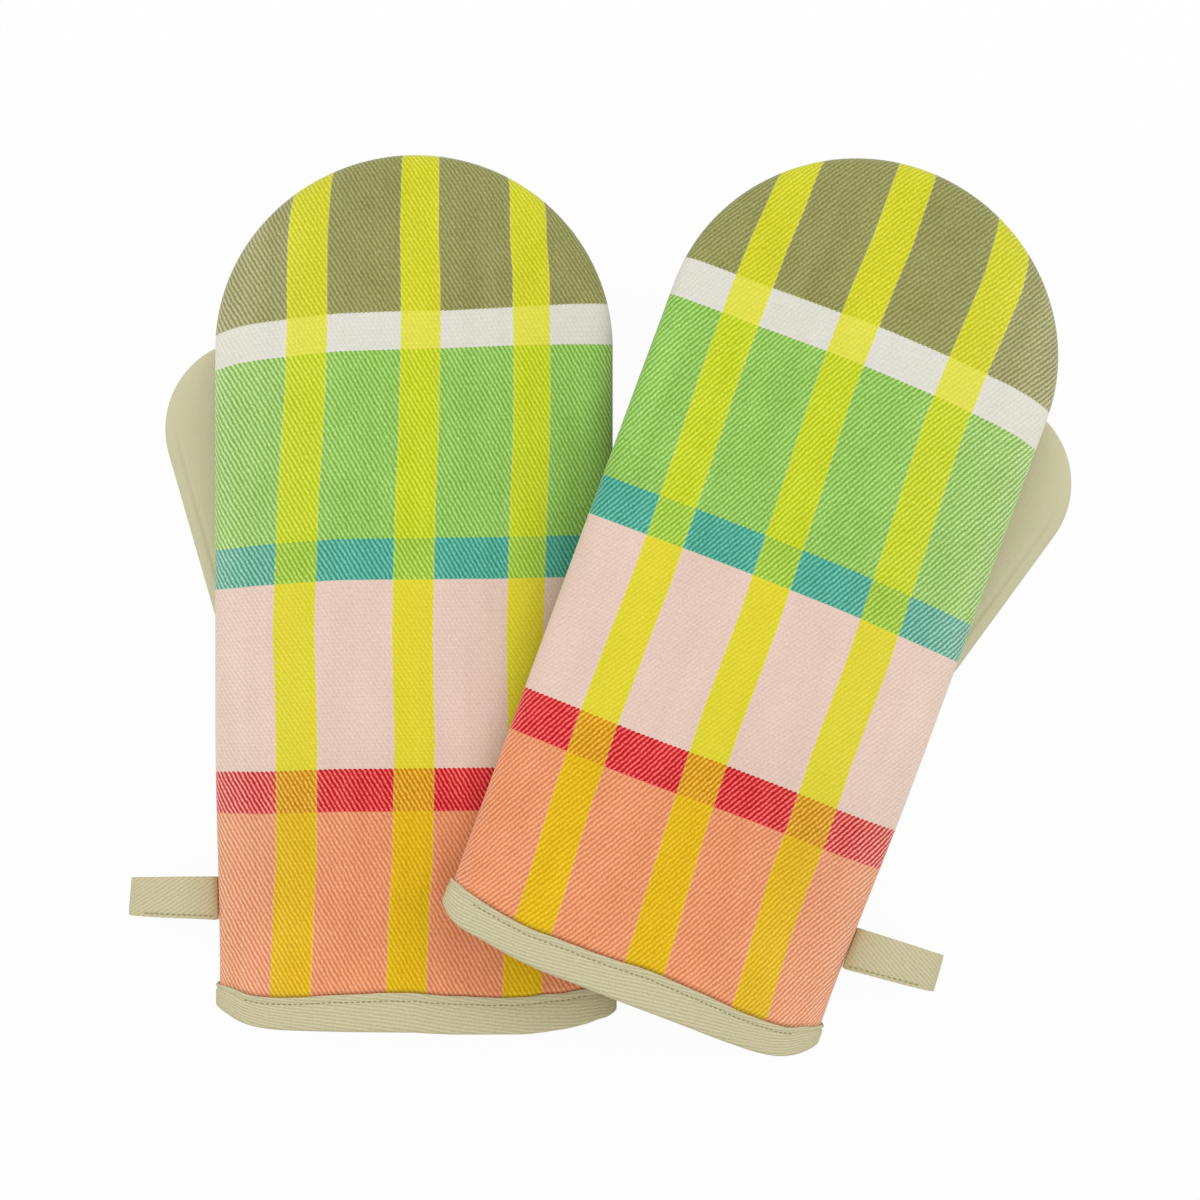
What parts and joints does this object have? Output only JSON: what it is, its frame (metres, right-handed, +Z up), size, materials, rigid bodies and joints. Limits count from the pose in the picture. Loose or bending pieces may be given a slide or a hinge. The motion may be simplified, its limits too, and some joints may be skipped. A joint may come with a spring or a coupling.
{
  "type": "oven glove",
  "caption": "Padded oven gloves for both hands, check backs and plain palms, each with a folded thumb, a bound cuff and a hanging loop, one lying across the other.",
  "frame": {"origin": "bottom centre of the box round both gloves as they lie, on the table", "axes": "+Z up from the table, +Y along the right-hand glove from its cuff to its fingertips, +X from the right-hand glove towards the left-hand one"},
  "size_m": [0.3568, 0.335, 0.0568],
  "materials": {
    "check_twill": "woven twill in broad bands of olive, cream, green, teal, pink, red and orange, crossed by yellow stripes",
    "sage_drill": "plain fine drill, pale sage",
    "sage_tape": "plain twill tape, sage",
    "batting": "soft fibre padding",
    "lining": "plain cotton"
  },
  "bodies": {
    "right_hand_glove": {"right_hand_back_panel": "check_twill", "right_hand_back_batting": "batting", "right_hand_back_lining": "lining", "right_hand_palm_lower_panel": "sage_drill", "right_hand_palm_lower_batting": "batting", "right_hand_palm_lower_lining": "lining", "right_hand_palm_upper_panel": "sage_drill", "right_hand_palm_upper_batting": "batting", "right_hand_palm_upper_lining": "lining", "right_hand_cuff_binding": "sage_tape"},
    "right_hand_thumb": {"right_hand_thumb_front_panel": "sage_drill", "right_hand_thumb_front_batting": "batting", "right_hand_thumb_front_lining": "lining", "right_hand_thumb_rear_panel": "sage_drill", "right_hand_thumb_rear_batting": "batting", "right_hand_thumb_rear_lining": "lining"},
    "right_hand_loop": {"right_hand_hanging_loop": "sage_tape"},
    "left_hand_glove": {"left_hand_back_panel": "check_twill", "left_hand_back_batting": "batting", "left_hand_back_lining": "lining", "left_hand_palm_lower_panel": "sage_drill", "left_hand_palm_lower_batting": "batting", "left_hand_palm_lower_lining": "lining", "left_hand_palm_upper_panel": "sage_drill", "left_hand_palm_upper_batting": "batting", "left_hand_palm_upper_lining": "lining", "left_hand_cuff_binding": "sage_tape"},
    "left_hand_thumb": {"left_hand_thumb_front_panel": "sage_drill", "left_hand_thumb_front_batting": "batting", "left_hand_thumb_front_lining": "lining", "left_hand_thumb_rear_panel": "sage_drill", "left_hand_thumb_rear_batting": "batting", "left_hand_thumb_rear_lining": "lining"},
    "left_hand_loop": {"left_hand_hanging_loop": "sage_tape"}
  },
  "joints": [
    {"name": "left_hand_lift", "type": "slide", "parent": "right_hand_glove", "child": "left_hand_glove", "axis": [0, 0, 1], "range_m": [0, 0.15]},
    {"name": "right_hand_thumb_fold", "type": "hinge", "parent": "right_hand_glove", "child": "right_hand_thumb", "pos_m": [-0.0989, -0.04242, 0.01915], "axis": [-1, 0, 0], "range_deg": [0, 80]},
    {"name": "left_hand_thumb_fold", "type": "hinge", "parent": "left_hand_glove", "child": "left_hand_thumb", "pos_m": [0.0789, -0.04577, 0.01915], "axis": [-0.9385, 0.3453, 0], "range_deg": [0, 80]},
    {"name": "right_hand_loop_fold", "type": "hinge", "parent": "right_hand_glove", "child": "right_hand_loop", "pos_m": [-0.14445, -0.11102, 0.01823], "axis": [0, 1, 0], "range_deg": [-60, 100]},
    {"name": "left_hand_loop_fold", "type": "hinge", "parent": "left_hand_glove", "child": "left_hand_loop", "pos_m": [0.09796, -0.12588, 0.01823], "axis": [-0.3453, -0.9385, 0], "range_deg": [-60, 100]}
  ]
}
